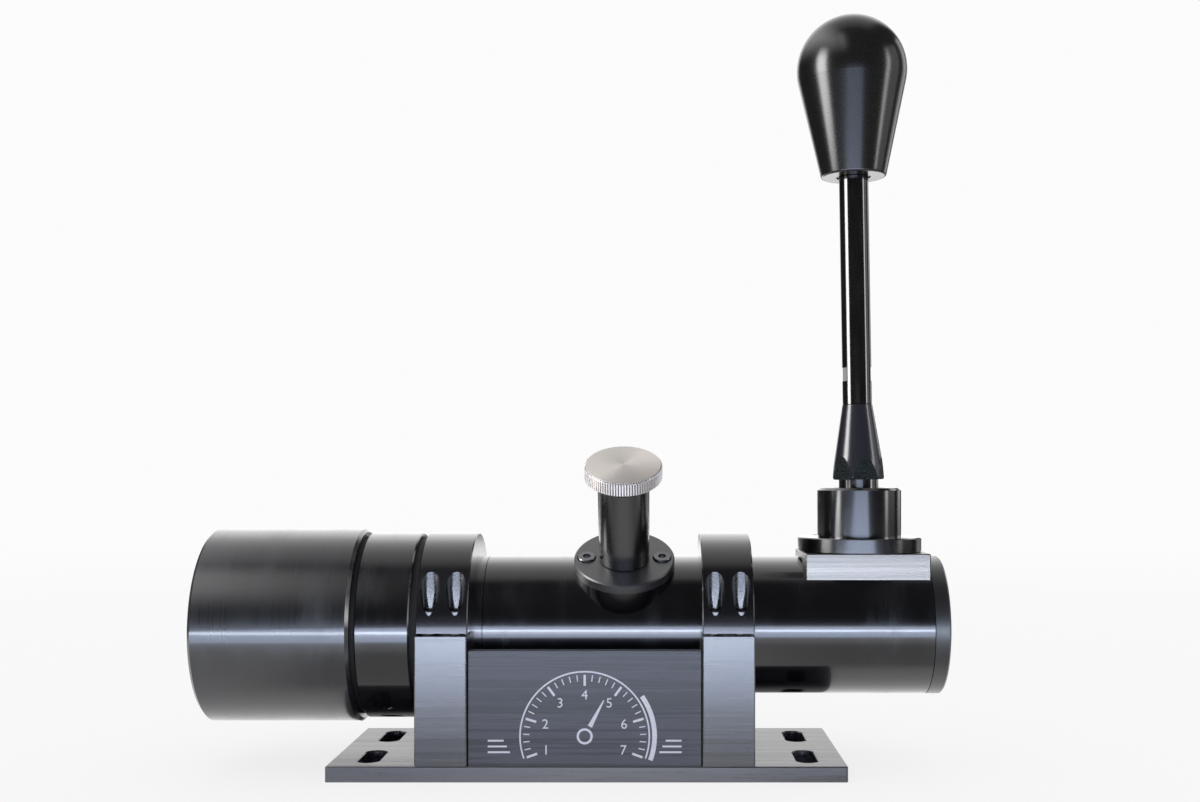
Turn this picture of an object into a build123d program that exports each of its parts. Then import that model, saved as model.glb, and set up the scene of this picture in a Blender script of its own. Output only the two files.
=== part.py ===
from build123d import *
import os
from math import acos, atan2, cos, hypot, radians, sin, sqrt

# Base plate
plate_length = 200.0
plate_width = 80.0
plate_thickness = 6.0
plate_corner = 1.2
plate_edge = 0.4
slot_width = 8.5
slot_length = 24.0
slot_x = 85.5
slot_y = 21.0

# Main tube and its end cap
axis_above_plate = 50.0
tube_radius = 28.0
tube_wall = 5.0
tube_past_lever = 26.0
tube_edge = 0.3
cap_length = 6.0
cap_edge = 0.6
cap_wall = 3.0
cap_spigot_length = 7.0
cap_spigot_wall = 6.95

# Split clamps
left_clamp_x = -55.8
right_clamp_x = 54.4
clamp_length = 20.0
clamp_radius = 37.5
clamp_split = 1.0
clamp_edge = 0.4
clamp_screw_x = 5.0
clamp_screw_y = 33.0
clamp_pocket_radius = 3.8
clamp_head_seat = 4.8
clamp_screw_length = 18.0
base_screw_y = 28.0
base_screw_length = 16.0

# Panels between the clamps
panel_height = 44.0
panel_thickness = 6.0
panel_recess = 0.5
panel_gap = 0.4
panel_edge = 0.3
panel_screw_x = 30.0
panel_screw_in = 3.5
panel_screw_length = 12.0

# Flange piece and spring housing
seam_offset = 4.3
clamp_groove = 2.7
ring_radius = 37.5
ring_length = 21.0
ring_edge = 0.5
seal_length = 2.0
seal_radius = 36.0
pilot_radius = 33.0
pilot_length = 10.0
spigot_length = 12.0
flange_wall_length = 8.0
flange_pocket_radius = 20.0
flange_clear_radius = 11.5
housing_radius = 39.0
housing_length = 61.7
housing_edge = 1.2
housing_wall = 5.0
housing_step = 4.0
retainer_length = 3.0
retainer_hole = 7.5
board_room = 16.6

# Sensor board, its socket and fasteners
board_width = 44.0
board_height = 30.0
board_thickness = 1.6
board_standoff = 4.6
standoff_radius = 3.0
board_screw_y = 16.0
board_screw_z = 11.0
board_screw_length = 5.0
sensor_width = 4.2
sensor_height = 3.2
sensor_thickness = 1.2
socket_width = 12.0
socket_height = 11.0
socket_recess = 0.5
socket_floor = 2.0
port_width = 8.45
port_height = 7.78
tongue_width = 5.6
tongue_height = 3.2
tongue_short = 1.0
socket_gap = 0.3

# Selector rod and what rides on it
rod_radius = 10.0
rod_edge = 0.8
rod_nose_length = 12.0
tail_radius = 6.0
tail_edge = 0.4
tail_past_retainer = 3.7
shoulder_to_wall = 13.0
cross_bore_radius = 6.1
notch_depth = 2.0
bush_wall = 2.5
bush_length = 22.0
carrier_length = 18.0
carrier_to_lever = 24.0
piston_radius = 18.0
piston_length = 6.0
piston_pin_radius = 1.5
magnet_radius = 4.0
magnet_length = 3.0

# Springs and bump stops
return_spring_radius = 14.0
return_wire_radius = 1.2
front_spring_length = 19.0
rear_spring_length = 16.0
front_spring_turns = 5
rear_spring_turns = 4
bump_radius = 10.5
bump_hole = 7.0
bump_margin = 0.5

# Lever and its turret
lever_x = 110.0
pivot_above_axis = 46.0
rest_lean = 0.95
lever_swing = 7.0
saddle_shift = 0.75
saddle_length = 49.6
saddle_width = 40.0
saddle_top = 30.0
saddle_edge = 0.4
throat_radius = 10.0
turret_flange_radius = 25.1
turret_flange_height = 6.0
turret_radius = 17.0
turret_height = 26.0
turret_edge = 1.0
flange_edge = 0.4
turret_screw_circle = 21.0
turret_screw_length = 18.0
ball_radius = 12.5
ball_flat = 11.0
race_radius = 14.5
race_hole = 8.5
race_drop = 1.5
turret_mouth = 10.6
neck_radius = 8.0
neck_height = 13.4
stud_radius = 5.0
stud_waist_radius = 3.5
stud_waist_height = 16.0
stud_taper_height = 6.0
stud_in_cone = 14.6
tip_radius = 6.0
pivot_pin_radius = 1.25
pivot_pin_in = 6.5
pivot_pin_out = 15.3
pivot_pin_end_gap = 0.3
cone_foot_radius = 11.0
cone_top_radius = 6.1
cone_height = 30.6
cone_edge = 1.0
cone_flats = 19.0
cone_turn = 9.0
lever_radius = 6.0
lever_edge = 0.3
lever_flats = 10.0
lever_flats_height = 5.8
lever_flats_start = 9.7
lever_flats_turn = 6.4
lever_root_radius = 4.0
lever_root_length = 14.0
lever_thread_radius = 5.0
lever_thread_length = 20.0

# Gear knob
knob_height_above_cone = 93.4
knob_foot_radius = 13.3
knob_foot_edge = 1.0
knob_head_radius = 22.45
knob_head_height = 43.6
insert_radius = 7.0
insert_recess = 0.5
insert_length = 24.0

# Detent adjuster on its tilted post
adjuster_x = 14.0
adjuster_tilt = 30.0
adjuster_flange_radius = 20.0
adjuster_flange_top = 32.7
adjuster_flange_depth = 14.0
adjuster_edge = 0.5
adjuster_screw_x = 15.0
adjuster_screw_length = 7.6
adjuster_head_sink = 1.4
adjuster_pocket_radius = 3.8
post_radius = 10.0
post_length = 34.3
post_lip = 6.0
post_edge = 0.4
post_spigot_radius = 9.0
post_spigot_length = 4.4
chamber_radius = 7.5
guide_length = 23.0
guide_top = 36.0
plunger_radius = 5.0
plunger_tip_radius = 1.2
plunger_clearance = 0.3
plunger_head_radius = 6.9
plunger_head_length = 2.7
spring_pin_radius = 3.0
spring_pin_length = 3.5
detent_spring_radius = 5.0
detent_wire_radius = 0.65
detent_spring_length = 14.0
detent_spring_turns = 6
seat_radius = 7.2
seat_length = 4.0
thumb_shank_radius = 4.0
thumb_gap = 2.5
thumb_radius = 15.0
thumb_height = 6.0
thumb_edge = 0.7
rib_count = 90
rib_depth = 0.45

# Screws: shank radius, head radius and head height of each kind
m4_radius = 2.0
m4_head_radius = 3.5
m4_head_height = 4.0
m4_low_head_height = 2.2
m4_key = 3.0
m5_radius = 2.5
m5_head_radius = 4.9
m5_head_height = 2.8
m5_key = 3.0
m3_radius = 1.5
m3_head_radius = 2.8
m3_head_height = 1.7
m3_key = 2.0
key_depth_share = 0.5
head_edge = 0.3
set_screw_length = 8.0
set_screw_key = 2.0

# Clearances
seat_gap = 0.05
running_gap = 0.05
ball_gap = 0.1
screw_gap = 0.1
head_recess = 0.2
overrun = 5.0

# Places worked out from the sizes above
axis_height = plate_thickness + axis_above_plate
tube_bore = tube_radius - tube_wall
left_clamp_left = left_clamp_x - clamp_length / 2
left_clamp_right = left_clamp_x + clamp_length / 2
right_clamp_left = right_clamp_x - clamp_length / 2
tube_left = left_clamp_right + seam_offset
tube_right = lever_x + tube_past_lever
ring_right = left_clamp_left - clamp_groove
ring_left = ring_right - ring_length
housing_right = ring_left - seal_length
housing_left = housing_right - housing_length
housing_floor = housing_left + housing_wall
pilot_left = housing_right - pilot_length
retainer_left = housing_floor + board_room + board_standoff
retainer_right = retainer_left + retainer_length
board_left = housing_floor + board_standoff
board_right = board_left + board_thickness
piston_left = retainer_right + rear_spring_length
piston_right = piston_left + piston_length
flange_wall_left = piston_right + front_spring_length
flange_wall_right = flange_wall_left + flange_wall_length
tail_left = retainer_left - tail_past_retainer
rod_left = flange_wall_right + shoulder_to_wall
bush_radius = rod_radius + running_gap + bush_wall
rear_bush_right = tube_left + spigot_length
rear_bush_left = rear_bush_right - bush_length
carrier_right = lever_x - carrier_to_lever
carrier_left = carrier_right - carrier_length
pivot_height = axis_height + pivot_above_axis
selector_travel = pivot_above_axis * radians(lever_swing)
cross_bore_x = lever_x + pivot_above_axis * sin(radians(rest_lean))
rod_right = cross_bore_x + rod_nose_length
saddle_x = lever_x + saddle_shift
flange_top = saddle_top + turret_flange_height - pivot_above_axis
turret_top = saddle_top + turret_height - pivot_above_axis
turret_foot = saddle_top - pivot_above_axis
cone_top = neck_height + cone_height
knob_foot = cone_top + knob_height_above_cone
post_top = adjuster_flange_top + post_length
chamber_top = post_top - post_lip
plunger_seat = guide_top + plunger_clearance
spring_foot = plunger_seat + plunger_head_length
seat_foot = spring_foot + detent_spring_length
seat_top = seat_foot + seat_length
thumb_foot = post_top + thumb_gap
panel_left = left_clamp_right + panel_gap
panel_right = right_clamp_left - panel_gap
panel_middle = (panel_left + panel_right) / 2
end_screw_x = tube_right - cap_spigot_length / 2
carrier_screw_x = (carrier_left + carrier_right) / 2

# Frames in which the lever and the adjuster are drawn
lever_place = Pos(lever_x, 0, pivot_height) * Rot(0, -rest_lean, 0)
turret_place = Pos(lever_x, 0, pivot_height)
adjuster_place = Pos(adjuster_x, 0, axis_height) * Rot(adjuster_tilt, 0, 0)
piston_place = Pos((piston_left + piston_right) / 2, 0, axis_height)


def bar_x(x_low, x_high, radius):
    """A round bar on the tube's centre line."""
    return Pos((x_low + x_high) / 2, 0, axis_height) * Rot(0, 90, 0) * Cylinder(radius, x_high - x_low)


def bar_z(z_low, z_high, radius, x=0, y=0):
    """An upright round bar in the frame in which it is drawn."""
    return Pos(x, y, (z_low + z_high) / 2) * Cylinder(radius, z_high - z_low)


def bar_y(y_low, y_high, radius):
    """A round bar across the frame in which it is drawn."""
    return Pos(0, (y_low + y_high) / 2, 0) * Rot(90, 0, 0) * Cylinder(radius, y_high - y_low)


def cone_z(z_low, z_high, radius_low, radius_high, x=0, y=0):
    """An upright cone in the frame in which it is drawn."""
    return Pos(x, y, (z_low + z_high) / 2) * Cone(radius_low, radius_high, z_high - z_low)


def block(x_low, x_high, y_low, y_high, z_low, z_high):
    """A box between two corners."""
    middle = Pos((x_low + x_high) / 2, (y_low + y_high) / 2, (z_low + z_high) / 2)
    return middle * Box(x_high - x_low, y_high - y_low, z_high - z_low)


def edged(solid, size):
    """A plain bar with its two round rims chamfered."""
    return chamfer(solid.edges().filter_by(GeomType.CIRCLE), size)


def hexagon(z_low, z_high, flats):
    """An upright hexagonal bar, with two of its corners on the X axis."""
    outline = RegularPolygon(flats / 2, 6, major_radius=False)
    return Pos(0, 0, z_low) * extrude(outline, z_high - z_low)


def cap_screw(length, shank, head, head_height, key):
    """A socket head screw, drawn from under its head."""
    cap = bar_z(0, head_height, head)
    cap = chamfer(cap.edges().filter_by(GeomType.CIRCLE).sort_by(Axis.Z)[-1], head_edge)
    depth = head_height * key_depth_share
    return cap + bar_z(-length, 0, shank) - hexagon(head_height - depth, head_height + overrun, key)


def flush_screw(length, shank, head, head_height, key):
    """A countersunk screw, drawn from the top of its head."""
    body = bar_z(-length, -head_height, shank) + cone_z(-head_height, 0, shank, head)
    depth = head_height * key_depth_share
    return body - hexagon(-depth, overrun, key)


def flush_hole(length, shank, head, head_height):
    """The room for a countersunk screw, with a little over its head."""
    shank_room = bar_z(-length - screw_gap, 0, shank + screw_gap)
    head_room = cone_z(-head_height, 0, shank, head)
    return shank_room + head_room + bar_z(0, overrun, head)


def set_screw(length, radius, key):
    """A headless screw, drawn from its outer end."""
    return bar_z(-length, 0, radius) - hexagon(-length * key_depth_share, overrun, key)


def coil(z_low, z_high, mean_radius, wire_radius, turns):
    """A coil spring of one round wire between two seats."""
    height = z_high - z_low - 2 * wire_radius
    line = Edge.make_helix(height / turns, height, mean_radius)
    section = Plane(line @ 0, z_dir=line % 0) * Circle(wire_radius)
    return Pos(0, 0, z_low + wire_radius) * sweep(section, path=line, is_frenet=True)


def at_each(places, solid):
    """Copies of one solid at each of its places, as a group."""
    return [place * solid for place in places]


def group(solids):
    """Separate solids that share one node."""
    return Compound(children=[solid.solid() for solid in solids])


def clamp_screw_places():
    """The clamp screws, at the floors of their pockets."""
    seats = []
    for clamp_x in (left_clamp_x, right_clamp_x):
        for x in (clamp_x - clamp_screw_x, clamp_x + clamp_screw_x):
            for y in (-clamp_screw_y, clamp_screw_y):
                seats.append(Pos(x, y, axis_height + clamp_head_seat))
    return seats


def base_screw_places():
    """The screws that come up through the plate into the clamps."""
    places = []
    for x in (left_clamp_x, right_clamp_x):
        for y in (-base_screw_y, base_screw_y):
            places.append(Pos(x, y, head_recess) * Rot(180, 0, 0))
    return places


def panel_screw_places():
    """The screws that come up through the plate into the two panels."""
    line = plate_width / 2 - panel_recess - panel_screw_in
    places = []
    for x in (panel_middle - panel_screw_x, panel_middle + panel_screw_x):
        for y in (-line, line):
            places.append(Pos(x, y, head_recess) * Rot(180, 0, 0))
    return places


def turret_screw_places():
    """Four screws that hold the turret and the saddle to the tube."""
    top = turret_place * Pos(0, 0, flange_top - head_recess)
    return [top * Rot(0, 0, 45 + 90 * i) * Pos(turret_screw_circle, 0, 0) for i in range(4)]


def adjuster_screw_places():
    """Two low screws beside the adjuster's post."""
    seat = adjuster_place * Pos(0, 0, adjuster_flange_top - adjuster_head_sink)
    return [seat * Pos(x, 0, 0) for x in (-adjuster_screw_x, adjuster_screw_x)]


def end_screw_places():
    """The end cap's set screws, one below and one behind."""
    foot = Pos(end_screw_x, 0, axis_height)
    return [foot * Rot(angle, 0, 0) * Pos(0, 0, tube_radius) for angle in (180, -90)]


def carrier_screw_place():
    """The front carrier's set screw, under the tube."""
    return Pos(carrier_screw_x, 0, axis_height) * Rot(180, 0, 0) * Pos(0, 0, tube_radius)


def board_screw_places():
    """Four screws that hold the sensor board to its standoffs."""
    places = []
    for y in (-board_screw_y, board_screw_y):
        for z in (-board_screw_z, board_screw_z):
            places.append(Pos(board_right, y, axis_height + z) * Rot(0, 90, 0))
    return places


def base_plate():
    """The slotted plate, countersunk from below."""
    plate = Box(plate_length, plate_width, plate_thickness)
    plate = fillet(plate.edges().filter_by(Axis.Z), plate_corner)
    plate = Pos(0, 0, plate_thickness / 2) * plate
    for x in (-slot_x, slot_x):
        for y in (-slot_y, slot_y):
            slot = extrude(SlotOverall(slot_length, slot_width, rotation=90), plate_thickness + 2 * overrun)
            plate -= Pos(x, y, -overrun) * slot
    plate = chamfer(plate.faces().sort_by(Axis.Z)[-1].edges(), plate_edge)
    for place in base_screw_places():
        plate -= place * flush_hole(plate_thickness + overrun, m5_radius, m5_head_radius, m5_head_height)
    for place in panel_screw_places():
        plate -= place * flush_hole(plate_thickness + overrun, m3_radius, m3_head_radius, m3_head_height)
    return plate


def clamp_base(x):
    """A lower clamp half: a block with the tube's seat in its top."""
    side = plate_width / 2
    low = x - clamp_length / 2
    high = x + clamp_length / 2
    body = block(low, high, -side, side, plate_thickness, axis_height - clamp_split / 2)
    body = chamfer(body.edges().filter_by(Axis.Z), clamp_edge)
    body -= bar_x(low - overrun, high + overrun, tube_radius + seat_gap)
    for place in base_screw_places():
        body -= place * bar_z(-base_screw_length - screw_gap, 0, m5_radius + screw_gap)
    for place in clamp_screw_places():
        body -= place * bar_z(-clamp_screw_length - screw_gap, 0, m4_radius + screw_gap)
    return body


def clamp_cap(x):
    """An upper clamp half: a half ring with four open screw pockets."""
    low = x - clamp_length / 2
    high = x + clamp_length / 2
    ring = edged(bar_x(low, high, clamp_radius), clamp_edge)
    reach = clamp_radius + overrun
    foot = axis_height + clamp_split / 2
    ring &= block(low - overrun, high + overrun, -reach, reach, foot, axis_height + reach)
    ring -= bar_x(low - overrun, high + overrun, tube_radius + seat_gap)
    for place in clamp_screw_places():
        ring -= place * bar_z(0, clamp_radius, clamp_pocket_radius)
        ring -= place * bar_z(-clamp_screw_length, 0, m4_radius + screw_gap)
    return ring


def clamp_screws():
    """The eight screws that draw the clamp halves together."""
    return group(at_each(clamp_screw_places(), cap_screw(
        clamp_screw_length, m4_radius, m4_head_radius, m4_head_height, m4_key)))


def base_screws():
    """The four screws under the clamps."""
    return group(at_each(base_screw_places(), flush_screw(
        base_screw_length, m5_radius, m5_head_radius, m5_head_height, m5_key)))


def panel(side):
    """A flat panel between the clamps, at the front (-1) or the rear (+1)."""
    outer = plate_width / 2 - panel_recess
    inner = outer - panel_thickness
    low, high = sorted((side * inner, side * outer))
    body = block(panel_left, panel_right, low, high, plate_thickness, plate_thickness + panel_height)
    body = chamfer(body.edges().filter_by(Axis.Z), panel_edge)
    for place in panel_screw_places():
        body -= place * bar_z(-panel_screw_length - screw_gap, 0, m3_radius + screw_gap)
    return body


def panel_screws():
    """The four screws under the panels."""
    return group(at_each(panel_screw_places(), flush_screw(
        panel_screw_length, m3_radius, m3_head_radius, m3_head_height, m3_key)))


def main_tube():
    """The long tube, with the lever's mouth, the adjuster's hole and threads."""
    tube = edged(bar_x(tube_left, tube_right, tube_radius), tube_edge)
    tube -= bar_x(tube_left - overrun, tube_right + overrun, tube_bore)
    tube -= turret_place * bar_z(-pivot_above_axis, 0, throat_radius)
    tube -= adjuster_place * bar_z(0, tube_radius + overrun, chamber_radius + screw_gap)
    for place in turret_screw_places():
        tube -= place * bar_z(-turret_screw_length - screw_gap, 0, m3_radius + screw_gap)
    for place in adjuster_screw_places():
        tube -= place * bar_z(-adjuster_screw_length - screw_gap, 0, m4_radius + screw_gap)
    for place in end_screw_places() + [carrier_screw_place()]:
        tube -= place * bar_z(-tube_wall - overrun, overrun, m4_radius + screw_gap)
    return tube


def housing_flange():
    """The stub, ring and pilot that join the tube to the spring housing."""
    body = edged(bar_x(ring_left, ring_right, ring_radius), ring_edge)
    body += bar_x(ring_right, tube_left, tube_radius)
    body += bar_x(tube_left, rear_bush_right, tube_bore - seat_gap)
    body += bar_x(pilot_left, ring_left, pilot_radius - seat_gap)
    body -= bar_x(rear_bush_left, rear_bush_right + overrun, bush_radius + seat_gap)
    body -= bar_x(flange_wall_right, rear_bush_left, flange_clear_radius)
    body -= bar_x(pilot_left - overrun, flange_wall_left, flange_pocket_radius)
    body -= bar_x(flange_wall_left, flange_wall_right, tail_radius + ball_gap)
    return body


def housing_seal():
    """The flat seal in the groove between the flange and the housing."""
    return bar_x(housing_right, ring_left, seal_radius) - bar_x(housing_right, ring_left, pilot_radius)


def clamp_seal():
    """The flat seal in the groove between the flange and the left clamp."""
    seal = bar_x(ring_right, left_clamp_left, seal_radius)
    return seal - bar_x(ring_right, left_clamp_left, tube_radius + seat_gap)


def spring_housing():
    """The large cup, open to the right, with standoffs and a socket hole in its end."""
    cup = edged(bar_x(housing_left, housing_right, housing_radius), housing_edge)
    cup -= bar_x(retainer_left, housing_right + overrun, pilot_radius)
    cup -= bar_x(housing_floor, retainer_left, pilot_radius - housing_step)
    for place in board_screw_places():
        cup += place * bar_z(-board_thickness - board_standoff, -board_thickness, standoff_radius)
    for place in board_screw_places():
        cup -= place * bar_z(-board_screw_length - screw_gap, 0, m3_radius + screw_gap)
    side = socket_width / 2 + socket_gap
    half = socket_height / 2 + socket_gap
    inner = housing_floor + overrun
    return cup - block(housing_left - overrun, inner, -side, side, axis_height - half, axis_height + half)


def end_cap():
    """The cap that closes the tube at the lever's end."""
    cap = bar_x(tube_right, tube_right + cap_length, tube_radius)
    cap = chamfer(cap.edges().filter_by(GeomType.CIRCLE).sort_by(Axis.X)[-1], cap_edge)
    spigot_left = tube_right - cap_spigot_length
    spigot_radius = tube_bore - seat_gap
    cap += bar_x(spigot_left, tube_right, spigot_radius)
    cap -= bar_x(spigot_left - overrun, tube_right + cap_length - cap_wall, spigot_radius - cap_spigot_wall)
    for place in end_screw_places():
        cap -= place * bar_z(-set_screw_length - screw_gap, 0, m4_radius + screw_gap)
    return cap


def end_cap_screws():
    """The end cap's two set screws."""
    return group(at_each(end_screw_places(), set_screw(set_screw_length, m4_radius, set_screw_key)))


def saddle_block():
    """The block that sits on the tube and carries the turret."""
    low = saddle_x - saddle_length / 2
    high = saddle_x + saddle_length / 2
    side = saddle_width / 2
    body = block(low, high, -side, side, axis_height, axis_height + saddle_top)
    body = chamfer(body.edges().filter_by(Axis.Z) + body.faces().sort_by(Axis.Z)[-1].edges(), saddle_edge)
    body -= bar_x(low - overrun, high + overrun, tube_radius + seat_gap)
    body -= turret_place * bar_z(-pivot_above_axis, 0, throat_radius)
    for place in turret_screw_places():
        body -= place * bar_z(-turret_screw_length, 0, m3_radius + screw_gap)
    return body


def turret():
    """The flanged collar that holds the lever's ball from above."""
    flange = edged(bar_z(turret_foot, flange_top, turret_flange_radius), flange_edge)
    collar = bar_z(turret_foot, turret_top, turret_radius)
    collar = chamfer(collar.edges().filter_by(GeomType.CIRCLE).sort_by(Axis.Z)[-1], turret_edge)
    body = flange + collar
    body -= bar_z(turret_foot - overrun, -race_drop, race_radius + seat_gap)
    body -= Sphere(ball_radius + ball_gap)
    mouth_low = sqrt((ball_radius + ball_gap) ** 2 - (turret_mouth - turret_edge) ** 2)
    body -= cone_z(mouth_low, turret_top, turret_mouth - turret_edge, turret_mouth)
    slot = pivot_pin_radius + running_gap
    reach = pivot_pin_out + pivot_pin_end_gap
    body -= bar_y(-reach, reach, slot) + block(-slot, slot, -reach, reach, turret_foot - overrun, 0)
    body = turret_place * body
    for place in turret_screw_places():
        body -= place * flush_hole(turret_screw_length, m3_radius, m3_head_radius, m3_head_height)
    return body


def ball_race():
    """The lower half of the ball's seat, held between the turret and the saddle."""
    race = bar_z(turret_foot, -race_drop, race_radius)
    race -= bar_z(turret_foot - overrun, 0, race_hole)
    race -= Sphere(ball_radius + ball_gap)
    return turret_place * race


def turret_screws():
    """The turret's four countersunk screws."""
    return group(at_each(turret_screw_places(), flush_screw(
        turret_screw_length, m3_radius, m3_head_radius, m3_head_height, m3_key)))


def pivot_ball():
    """The ball on which the lever rocks, with the neck above it."""
    ball = Sphere(ball_radius) + bar_z(0, neck_height, neck_radius)
    ball -= bar_z(-ball_radius - overrun, -ball_flat, ball_radius)
    ball -= bar_z(-ball_radius, neck_height + overrun, stud_radius + seat_gap)
    ball -= bar_y(pivot_pin_in, ball_radius + overrun, pivot_pin_radius + seat_gap)
    ball -= bar_y(-ball_radius - overrun, -pivot_pin_in, pivot_pin_radius + seat_gap)
    return lever_place * ball


def pivot_pins():
    """The two pins across the ball that let the lever rock fore and aft only."""
    pin = bar_y(pivot_pin_in, pivot_pin_out, pivot_pin_radius)
    return group(at_each([turret_place, turret_place * Rot(0, 0, 180)], pin))


def lever_stud():
    """The core of the lever, from the ball in the selector rod to the cone nut."""
    waist_top = stud_waist_height - pivot_above_axis
    taper_top = waist_top + stud_taper_height
    stud = Pos(0, 0, -pivot_above_axis) * Sphere(tip_radius)
    stud += bar_z(-pivot_above_axis, waist_top, stud_waist_radius)
    stud += cone_z(waist_top, taper_top, stud_waist_radius, stud_radius)
    stud += bar_z(taper_top, neck_height + stud_in_cone, stud_radius)
    return lever_place * stud


def cone_nut():
    """The tapered nut with six flats that locks the lever to the ball."""
    cone = cone_z(neck_height, cone_top, cone_foot_radius, cone_top_radius)
    foot = cone.edges().filter_by(GeomType.CIRCLE).sort_by(Axis.Z)[0]
    cone = fillet(foot, cone_edge)
    cone &= Rot(0, 0, cone_turn) * hexagon(neck_height - overrun, cone_top + overrun, cone_flats)
    cone -= bar_z(neck_height - overrun, neck_height + stud_in_cone, stud_radius + seat_gap)
    cone -= bar_z(cone_top - lever_root_length - seat_gap, cone_top + overrun, lever_root_radius + seat_gap)
    return lever_place * cone


def lever_rod():
    """The long rod, with two spanner flats near its foot."""
    shoulder = knob_foot + insert_recess
    rod = edged(bar_z(cone_top, shoulder, lever_radius), lever_edge)
    flats_low = cone_top + lever_flats_start
    flats_high = flats_low + lever_flats_height
    for side in (-1, 1):
        low, high = sorted((side * lever_flats / 2, side * (lever_radius + overrun)))
        cut = block(low, high, -lever_radius, lever_radius, flats_low, flats_high)
        rod -= Rot(0, 0, lever_flats_turn) * cut
    rod += bar_z(cone_top - lever_root_length, cone_top, lever_root_radius)
    rod += bar_z(shoulder, shoulder + lever_thread_length, lever_thread_radius)
    return lever_place * rod


def knob_insert():
    """The threaded insert moulded into the knob."""
    low = knob_foot + insert_recess
    sleeve = bar_z(low, low + insert_length, insert_radius)
    sleeve -= bar_z(low - overrun, low + lever_thread_length + seat_gap, lever_thread_radius + seat_gap)
    return lever_place * sleeve


def gear_knob():
    """The knob: a straight taper that runs smoothly into a round head."""
    reach = hypot(knob_foot_radius, knob_head_height)
    taper = atan2(knob_head_height, knob_foot_radius) - acos(knob_head_radius / reach)
    head = knob_foot + knob_head_height
    join_x = knob_head_radius * cos(taper)
    join_z = head - knob_head_radius * sin(taper)
    middle = radians(45)
    side = Line((knob_foot_radius, 0, knob_foot), (join_x, 0, join_z))
    dome = ThreePointArc(
        (join_x, 0, join_z),
        (knob_head_radius * cos(middle), 0, head + knob_head_radius * sin(middle)),
        (0, 0, head + knob_head_radius),
    )
    spine = Line((0, 0, head + knob_head_radius), (0, 0, knob_foot))
    foot = Line((0, 0, knob_foot), (knob_foot_radius, 0, knob_foot))
    knob = revolve(make_face([side, dome, spine, foot]), Axis.Z)
    rim = knob.edges().filter_by(GeomType.CIRCLE).sort_by(Axis.Z)[0]
    knob = fillet(rim, knob_foot_edge)
    knob -= bar_z(knob_foot - overrun, knob_foot + insert_recess + insert_length, insert_radius + seat_gap)
    return lever_place * knob


def selector_rod():
    """The sliding rod, with the lever's cross bore and the detent groove."""
    rod = edged(bar_x(rod_left, rod_right, rod_radius), rod_edge)
    rod += edged(bar_x(tail_left, rod_left + rod_edge, tail_radius), tail_edge)
    rod -= Pos(cross_bore_x, 0, axis_height) * Cylinder(cross_bore_radius, 2 * (rod_radius + overrun))
    groove = make_face(Polyline(
        (adjuster_x - notch_depth, 0, rod_radius),
        (adjuster_x, 0, rod_radius - notch_depth),
        (adjuster_x + notch_depth, 0, rod_radius),
        (adjuster_x, 0, rod_radius + notch_depth),
        (adjuster_x - notch_depth, 0, rod_radius),
    ))
    rod -= Pos(0, 0, axis_height) * revolve(groove, Axis.X)
    return rod - piston_place * Cylinder(piston_pin_radius + seat_gap, 2 * piston_radius)


def bush(x_low, x_high):
    """A plain bronze bush for the selector rod."""
    return bar_x(x_low, x_high, bush_radius) - bar_x(x_low, x_high, rod_radius + running_gap)


def front_carrier():
    """The disc that holds the front bush in the tube."""
    disc = bar_x(carrier_left, carrier_right, tube_bore - seat_gap)
    disc -= bar_x(carrier_left, carrier_right, bush_radius + seat_gap)
    disc -= carrier_screw_place() * bar_z(-set_screw_length - screw_gap, 0, m4_radius + screw_gap)
    return disc


def carrier_screw():
    """The set screw that holds the front carrier."""
    return carrier_screw_place() * set_screw(set_screw_length, m4_radius, set_screw_key)


def spring_piston():
    """The disc on the rod's tail that both return springs press on."""
    disc = edged(bar_x(piston_left, piston_right, piston_radius), tail_edge)
    disc -= bar_x(piston_left, piston_right, tail_radius + seat_gap)
    return disc - piston_place * Cylinder(piston_pin_radius + seat_gap, 2 * piston_radius + overrun)


def piston_pin():
    """The pin that locks the piston to the rod's tail."""
    length = 2 * (piston_radius - piston_pin_radius)
    return piston_place * Cylinder(piston_pin_radius, length)


def return_spring(x_low, x_high, turns):
    """A return spring around the rod's tail."""
    place = Pos(x_low, 0, axis_height) * Rot(0, 90, 0)
    return place * coil(0, x_high - x_low, return_spring_radius, return_wire_radius, turns)


def bump_stop(x_low, x_high):
    """A rubber tube inside a return spring, where the piston ends its travel."""
    return bar_x(x_low, x_high, bump_radius) - bar_x(x_low, x_high, bump_hole)


def spring_retainer():
    """The washer on the housing's inner step that holds the rear spring."""
    return bar_x(retainer_left, retainer_right, pilot_radius - seat_gap) - bar_x(
        retainer_left, retainer_right, retainer_hole)


def magnet():
    """The magnet on the tail's end."""
    return bar_x(tail_left - magnet_length, tail_left, magnet_radius)


def sensor_board():
    """The circuit board on the housing's standoffs."""
    side = board_width / 2
    half = board_height / 2
    board = block(board_left, board_right, -side, side, axis_height - half, axis_height + half)
    for place in board_screw_places():
        board -= place * bar_z(-board_screw_length, overrun, m3_radius + screw_gap)
    return board


def hall_sensor():
    """The sensor chip that faces the magnet."""
    side = sensor_width / 2
    half = sensor_height / 2
    face = board_right + sensor_thickness
    return block(board_right, face, -side, side, axis_height - half, axis_height + half)


def usb_socket():
    """The square socket behind the hole in the housing's end."""
    mouth = housing_left + socket_recess
    side = socket_width / 2
    half = socket_height / 2
    shell = block(mouth, board_left, -side, side, axis_height - half, axis_height + half)
    floor = board_left - socket_floor
    shell -= block(mouth - overrun, floor, -port_width / 2, port_width / 2,
                   axis_height - port_height / 2, axis_height + port_height / 2)
    shell += block(mouth + tongue_short, floor, -tongue_width / 2, tongue_width / 2,
                   axis_height - tongue_height / 2, axis_height + tongue_height / 2)
    return shell


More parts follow.
